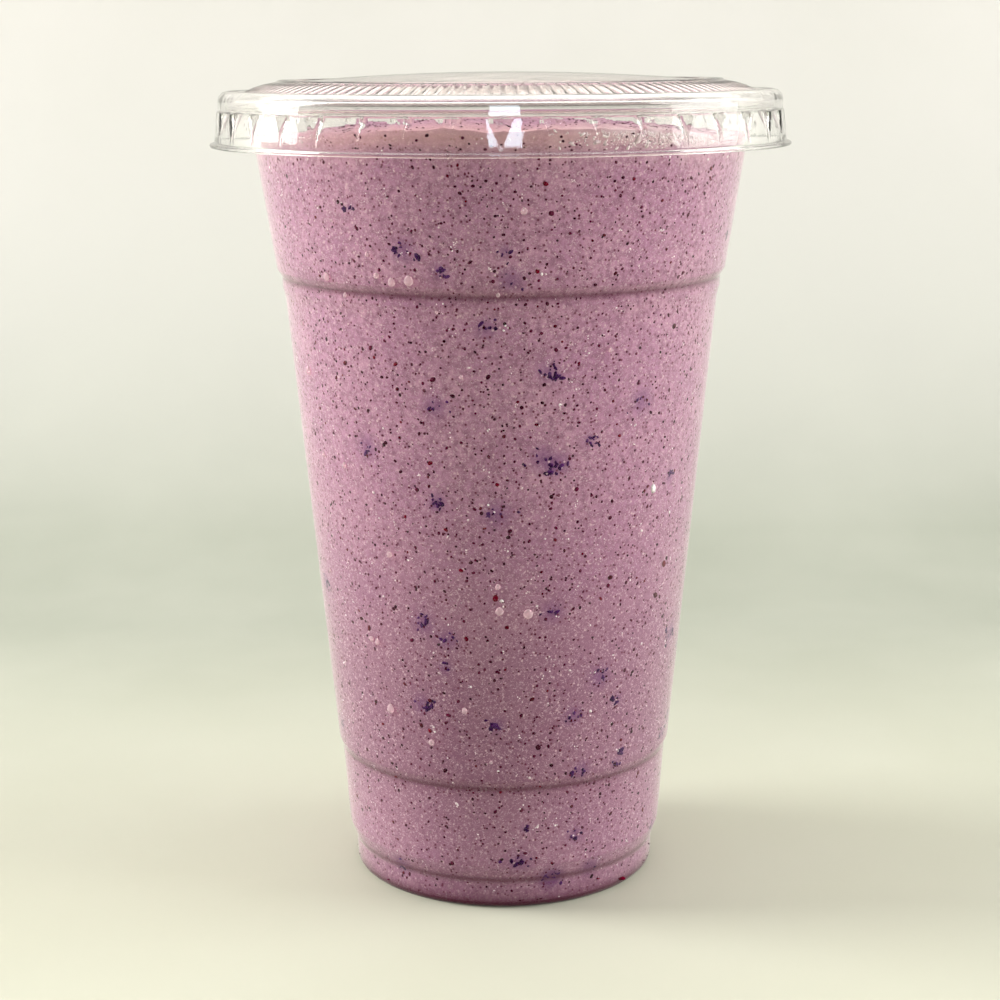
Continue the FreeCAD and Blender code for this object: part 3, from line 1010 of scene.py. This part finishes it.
def clear_material(name, tint, ior, roughness, uneven, clearness=1.0, slant_matt=0.0,
                   slant_matt_power=2.0, slant_matt_colour=(0.82, 0.78, 0.77)):
    """Refracting shader that shadow and diffuse rays pass straight through.

    The matt share grows with a power of the slant. On the cup it is pale, a painted reflection at the
    wall's edges; on the lid it is dark and darkens the sheet where it is seen edge-on.
    """
    material, nodes, link, shader = new_material(name)
    shader.inputs["Base Color"].default_value = (*tint, 1)
    shader.inputs["Transmission Weight"].default_value = clearness
    shader.inputs["Roughness"].default_value = roughness
    shader.inputs["IOR"].default_value = ior
    bumps = add_unevenness(nodes, *uneven)
    link(bumps.outputs["Normal"], shader.inputs["Normal"])
    path = add_node(nodes, "ShaderNodeLightPath")
    either = add_node(nodes, "ShaderNodeMath", operation="MAXIMUM")
    link(path.outputs["Is Shadow Ray"], either.inputs[0])
    link(path.outputs["Is Diffuse Ray"], either.inputs[1])
    passed = (*[part * PASSED for part in tint], 1)
    through = add_node(nodes, "ShaderNodeBsdfTransparent", {"Color": passed})
    # Matt share by the slant: painted reflection at the cup's edges, dark edging on the lid.
    slant = add_node(nodes, "ShaderNodeLayerWeight", {"Blend": 0.5})
    raised = add_node(nodes, "ShaderNodeMath", operation="POWER")
    raised.inputs[1].default_value = slant_matt_power
    share = add_node(nodes, "ShaderNodeMath", operation="MULTIPLY")
    share.inputs[1].default_value = slant_matt
    link(slant.outputs["Facing"], raised.inputs[0])
    link(raised.outputs[0], share.inputs[0])
    matt = add_node(nodes, "ShaderNodeBsdfDiffuse", {"Color": (*slant_matt_colour, 1)})
    seen = add_node(nodes, "ShaderNodeMixShader")
    link(share.outputs[0], seen.inputs[0])
    link(shader.outputs[0], seen.inputs[1])
    link(matt.outputs[0], seen.inputs[2])
    mixed = add_node(nodes, "ShaderNodeMixShader")
    link(either.outputs[0], mixed.inputs[0])
    link(seen.outputs[0], mixed.inputs[1])
    link(through.outputs[0], mixed.inputs[2])
    link(mixed.outputs[0], nodes["Material Output"].inputs["Surface"])
    return material


# The cup's pale matt share at the slant is a painted reflection at its edges.
wear(cup, clear_material("clear cup plastic", PLASTIC, ior=1.22, roughness=0.03,
                         uneven=(90.0, 0.12, 0.0004), slant_matt=0.22))
lid_material = clear_material("clear lid plastic", PLASTIC, ior=1.5, roughness=0.02,
                              uneven=(120.0, 0.2, 0.0004), slant_matt=0.9, slant_matt_power=40.0,
                              slant_matt_colour=(0.20, 0.185, 0.175))
nodes, link = lid_material.node_tree.nodes, lid_material.node_tree.links.new
lid_colour = mix_colour(nodes, link, stored_value(nodes, "blush"), (*PLASTIC, 1), BLUSH)
link(lid_colour, nodes["Principled BSDF"].inputs["Base Color"])
wear(lid, lid_material)
# Water is clear. The drops' pinkish white matt share, about a third of each drop, is painted light:
# it stands in for their highlights and the drink shining through them.
water = clear_material("water", (0.93, 0.74, 0.80), ior=1.33, roughness=0.0,
                       uneven=(300.0, 0.02, 0.0002), clearness=0.68)
wear(drops, water)
wear(fine_drops, water)

# %% [markdown]
# ## The drink's colour
#
# The drink is a muted mauve. Three scales of variation keep it from looking
# like paint: clouds a centimetre across where the mix is pinker or bluer, a
# fine mottle of ground fruit, and faint specks of seed that lie a little way
# below the surface. The stain stored on the points turns it violet.

# %% Drink colours
MAUVE = (0.426, 0.202, 0.330, 1)
PINK = (0.500, 0.262, 0.374, 1)
VIOLET = (0.17, 0.058, 0.18, 1)
MILK = (0.65, 0.44, 0.51, 1)
SHADE = (0.085, 0.012, 0.034, 1)
# Darker tone of the band below the middle.
LOW_BAND_COLOUR = (0.13, 0.045, 0.085, 1)
FROTH = (0.88, 0.70, 0.74, 1)
# Painted light: the glow of the drink's thin edge.
SALMON_PAINTED_GLOW = (0.80, 0.47, 0.46, 1)
DEEP = (0.15, 0.035, 0.07, 1)
# Pale dots: partly air in the drink, partly painted sparkle.
PALE_AND_SPARKLE = (0.60, 0.40, 0.46, 1)
GROUND = (0.285, 0.130, 0.208, 1)
print("drink's mean colour, mauve to pink:", [round((a + b) / 2, 3) for a, b in zip(MAUVE, PINK)][:3])

# %% [markdown]
# The material lays these colours over each other in one order, from the broad to the fine: first the
# clouds and the darker low band, then what is ground into the drink, and last the painted salmon glow
# at the edge, the froth and the painted shade of the creases.
# Each layer is a colour and a value that says where it shows.

# %% Drink material
material, nodes, link, shader = new_material("berry shake")
place = add_node(nodes, "ShaderNodeTexCoord").outputs["Object"]
clouds = add_node(nodes, "ShaderNodeTexNoise", {"Scale": 75.0, "Detail": 4.0, "Roughness": 0.6})
mottle = add_node(nodes, "ShaderNodeTexNoise", {"Scale": 900.0, "Detail": 3.0, "Roughness": 0.65})
specks = add_node(nodes, "ShaderNodeTexVoronoi", {"Scale": 850.0, "Randomness": 1.0})
lights = add_node(nodes, "ShaderNodeTexVoronoi", {"Scale": 620.0, "Randomness": 1.0})
flecks = add_node(nodes, "ShaderNodeTexNoise", {"Scale": 2300.0, "Detail": 2.0, "Roughness": 0.6,
                                                "Distortion": 1.2})
for texture in (clouds, mottle, specks, lights, flecks):
    link(place, texture.inputs["Vector"])
layers = [
    (ramp(nodes, link, stored_value(nodes, "low_band"), 0.0, 1.6), LOW_BAND_COLOUR),
    (ramp(nodes, link, mottle.outputs["Fac"], 0.62, 0.35), GROUND),
    (ramp(nodes, link, flecks.outputs["Fac"], 0.52, 0.74), MILK),
    (ramp(nodes, link, stored_value(nodes, "stain"), 0.05, 1.2), VIOLET),
    (ramp(nodes, link, specks.outputs["Distance"], 0.24, 0.12), DEEP),
    # Pale dots, partly painted sparkle.
    (ramp(nodes, link, lights.outputs["Distance"], 0.16, 0.08), PALE_AND_SPARKLE),
    # Painted light at the edge, then froth, then painted shade in the creases.
    (stored_value(nodes, "edge"), SALMON_PAINTED_GLOW),
    (stored_value(nodes, "froth"), FROTH),
    (stored_value(nodes, "crease"), SHADE)]
colour = mix_colour(nodes, link, ramp(nodes, link, clouds.outputs["Fac"], 0.38, 0.64), MAUVE, PINK)
for where, layer_colour in layers:
    colour = mix_colour(nodes, link, where, colour, layer_colour)
link(colour, shader.inputs["Base Color"])
shader.inputs["Roughness"].default_value = 0.55
shader.inputs["Specular IOR Level"].default_value = 0.08
bumps = add_unevenness(nodes, scale=700.0, strength=0.25, depth=0.0003)
link(bumps.outputs["Normal"], shader.inputs["Normal"])
wear(drink, material)

# %% [markdown]
# ## Specks, skins and bubbles
#
# The chips share one recipe: a mix of two colours by the random number that
# each chip carries, so neighbours differ. They lie wet against the plastic,
# which bends light as much as they do, so they have no shine of their own.

# %% Chip materials
def chip_material(name, first, second, roughness):
    """Chips between two colours, each by its own random number."""
    material, nodes, link, shader = new_material(name)
    colour = mix_colour(nodes, link, stored_value(nodes, "tint"), first, second)
    link(colour, shader.inputs["Base Color"])
    shader.inputs["Roughness"].default_value = roughness
    shader.inputs["Specular IOR Level"].default_value = 0.0
    return material


for piece, name, first, second, roughness in (
        (seeds, "crushed seeds", (0.022, 0.0, 0.006, 1), (0.11, 0.008, 0.036, 1), 0.5),
        (red_seeds, "red seeds", (0.05, 0.0, 0.008, 1), (0.16, 0.003, 0.018, 1), 0.5),
        (skins, "berry skins", (0.022, 0.002, 0.036, 1), (0.085, 0.020, 0.118, 1), 0.5),
        (froth_flakes, "froth", (0.70, 0.50, 0.56, 1), (0.97, 0.86, 0.89, 1), 0.4),
        # Near-white bubbles: partly pale air, partly painted sparkle.
        (bubbles, "bubbles and painted sparkle", (0.72, 0.55, 0.61, 1), (0.99, 0.92, 0.94, 1), 0.2)):
    wear(piece, chip_material(name, first, second, roughness))

# %% [markdown]
# ## Floor and backdrop
#
# One sheet of pale card runs forward under the cup and sweeps up behind it. Its tone is painted along
# its run: cream on the floor, a darker sage at the bend, which is painted shade, and a paler cream
# high up, which is painted light. The tone follows the distance along the card, which its points
# remember. The card is solid from the front and open from the back, so that the cup can be looked at
# from behind as well.

# %% Backdrop
SWEEP_START = 0.17
SWEEP_RADIUS = 0.20
CARD_REACH = 3.0
TONE_FROM, TONE_TO = -0.30, 0.70
CARD_GRAIN = (0.60, 0.61, 0.54, 1)
FLOOR_CREAM = (0.56, 0.57, 0.46)
SAGE_BEND_SHADE = (0.34, 0.36, 0.30)
HIGH_CREAM_LIT = (0.95, 0.92, 0.90)


def card_outline():
    """Depth and height along the card: flat, a quarter circle, then upright."""
    flat = np.stack([np.linspace(-CARD_REACH, SWEEP_START, 24), np.zeros(24)], -1)
    bend = np.radians(np.linspace(0, 90, 24))[1:]
    curve = np.stack([SWEEP_START + SWEEP_RADIUS * np.sin(bend),
                      SWEEP_RADIUS * (1 - np.cos(bend))], -1)
    upright = np.stack([np.full(12, SWEEP_START + SWEEP_RADIUS),
                        np.linspace(SWEEP_RADIUS, CARD_REACH, 13)[1:]], -1)
    return np.concatenate([flat, curve, upright])


card = card_outline()
across = np.linspace(-CARD_REACH, CARD_REACH, 5)
points = np.stack([across[None] + 0 * card[:, :1], card[:, :1] + 0 * across[None],
                   card[:, 1:] + 0 * across[None]], -1)
rows, columns = points.shape[:2]
row, column = np.meshgrid(np.arange(rows - 1), np.arange(columns - 1), indexing="ij")
corner = row * columns + column
faces = np.stack([corner, corner + 1, corner + columns + 1, corner + columns], -1).reshape(-1, 4)
mesh = bpy.data.meshes.new("backdrop")
mesh.from_pydata(points.reshape(-1, 3).tolist(), [], faces.tolist())
mesh.polygons.foreach_set("use_smooth", np.ones(len(faces), bool))
run = np.concatenate([[0], np.cumsum(np.linalg.norm(np.diff(card, axis=0), axis=1))])
set_values(mesh, "run", np.repeat(run - CARD_REACH, columns))
backdrop = bpy.data.objects.new("backdrop", mesh)
bpy.context.scene.collection.objects.link(backdrop)
print("card in metres, wide and along:", 2 * CARD_REACH, round(float(run[-1]), 2))

# %% [markdown]
# The card's tone, painted shade at the bend and painted light high up, is a ramp along its run. A
# second shader lets the eye through where the card shows its back.

# %% Card material
material, nodes, link, shader = new_material("pale card")
painted_card_tone = add_node(nodes, "ShaderNodeValToRGB")
link(ramp(nodes, link, stored_value(nodes, "run"), TONE_FROM, TONE_TO), painted_card_tone.inputs["Fac"])
# Sage at the bend is painted shade; the pale cream high up is painted light.
stops = [(0.28, FLOOR_CREAM), (0.46, SAGE_BEND_SHADE), (0.53, SAGE_BEND_SHADE), (0.83, HIGH_CREAM_LIT)]
while len(painted_card_tone.color_ramp.elements) < len(stops):
    painted_card_tone.color_ramp.elements.new(0.5)
for element, (position, shade) in zip(painted_card_tone.color_ramp.elements, stops):
    element.position = position
    element.color = (*shade, 1)
grain = add_unevenness(nodes, scale=14.0, strength=0.05, depth=0.001)
where = ramp(nodes, link, grain.outputs["Value"], 0.35, 2.2)
colour = mix_colour(nodes, link, where, painted_card_tone.outputs["Color"], CARD_GRAIN)
link(colour, shader.inputs["Base Color"])
shader.inputs["Roughness"].default_value = 0.6
shader.inputs["Specular IOR Level"].default_value = 0.3
sides = add_node(nodes, "ShaderNodeNewGeometry")
open_back = add_node(nodes, "ShaderNodeBsdfTransparent")
one_sided = add_node(nodes, "ShaderNodeMixShader")
link(sides.outputs["Backfacing"], one_sided.inputs[0])
link(shader.outputs[0], one_sided.inputs[1])
link(open_back.outputs[0], one_sided.inputs[2])
link(one_sided.outputs[0], nodes["Material Output"].inputs["Surface"])
wear(backdrop, material)

# %% [markdown]
# ## Light
#
# Clear plastic shows its form by what it mirrors, and a bare panel would burn
# out in it. In a studio a veil hangs before the lamp; here each side panel
# is split in two, a strong one that only lights things and a weak one that
# only shows in shiny surfaces. A panel overhead and one behind draw the white
# lines on the lid, and a small cool window gives the glint on the skirt. The
# room round about fills the shadows, but what the wall mirrors of it is dim,
# as it is behind a camera; otherwise a grey veil would lie over the specks.

# %% Lights
ROOM_LIGHT, ROOM_MIRRORED = 0.585, 0.12
LEFT, RIGHT = (-1.15, 0.26, 0.60), (1.15, 0.08, 0.50)
MIDDLE = (0, 0, 0.09)
WARM, NEUTRAL, COOL = (1.0, 0.98, 0.95), (1.0, 0.99, 0.97), (0.74, 0.86, 1.0)


def soft_panel(name, position, target, size, power, colour):
    """Area light of a size, in metres, at a position, looking at a target, in watts."""
    data = bpy.data.lights.new(name, "AREA")
    data.shape = "RECTANGLE"
    data.size, data.size_y = size
    data.energy = power
    data.color = colour
    light = bpy.data.objects.new(name, data)
    aim = (Vector(target) - Vector(position)).to_track_quat("-Z", "Y")
    light.matrix_world = Matrix.Translation(position) @ aim.to_matrix().to_4x4()
    bpy.context.scene.collection.objects.link(light)
    return light


lighting = [
    soft_panel("left panel", LEFT, MIDDLE, (0.8, 0.9), 35.0, WARM),
    soft_panel("right panel", RIGHT, MIDDLE, (1.1, 1.1), 22.0, NEUTRAL)]
for panel in lighting:
    panel.visible_glossy = False
mirrored = [
    soft_panel("left mirror", LEFT, MIDDLE, (1.2, 1.3), 3.4, WARM),
    soft_panel("right mirror", RIGHT, MIDDLE, (1.1, 1.1), 2.5, NEUTRAL),
    soft_panel("top mirror", (0.0, 0.25, 1.10), MIDDLE, (1.1, 0.8), 8.0, NEUTRAL),
    soft_panel("back mirror", (0.0, 0.33, 0.52), (0, -0.05, 0.15), (1.3, 0.42), 2.2, WARM),
    soft_panel("window mirror", (0.03, -1.0, 0.31), (0, 0, 0.14), (0.21, 0.14), 0.85, COOL)]
for panel in mirrored:
    panel.visible_diffuse = False
for panel in lighting + mirrored:
    panel.visible_camera = False
print("lights:", len(lighting), "and mirrored:", len(mirrored))

# %% [markdown]
# The room is an even, faintly warm glow from all round. A light path node
# tells a mirror ray from the others and gives it the dimmer strength.

# %% Room
world = bpy.data.worlds.new("studio")
world.use_nodes = True
room = world.node_tree.nodes["Background"]
room.inputs["Color"].default_value = (1.0, 0.99, 0.96, 1)
nodes, link = world.node_tree.nodes, world.node_tree.links.new
path = add_node(nodes, "ShaderNodeLightPath")
strength = add_node(nodes, "ShaderNodeMapRange", {"To Min": ROOM_LIGHT, "To Max": ROOM_MIRRORED})
link(path.outputs["Is Glossy Ray"], strength.inputs["Value"])
link(strength.outputs["Result"], room.inputs["Strength"])
bpy.context.scene.world = world
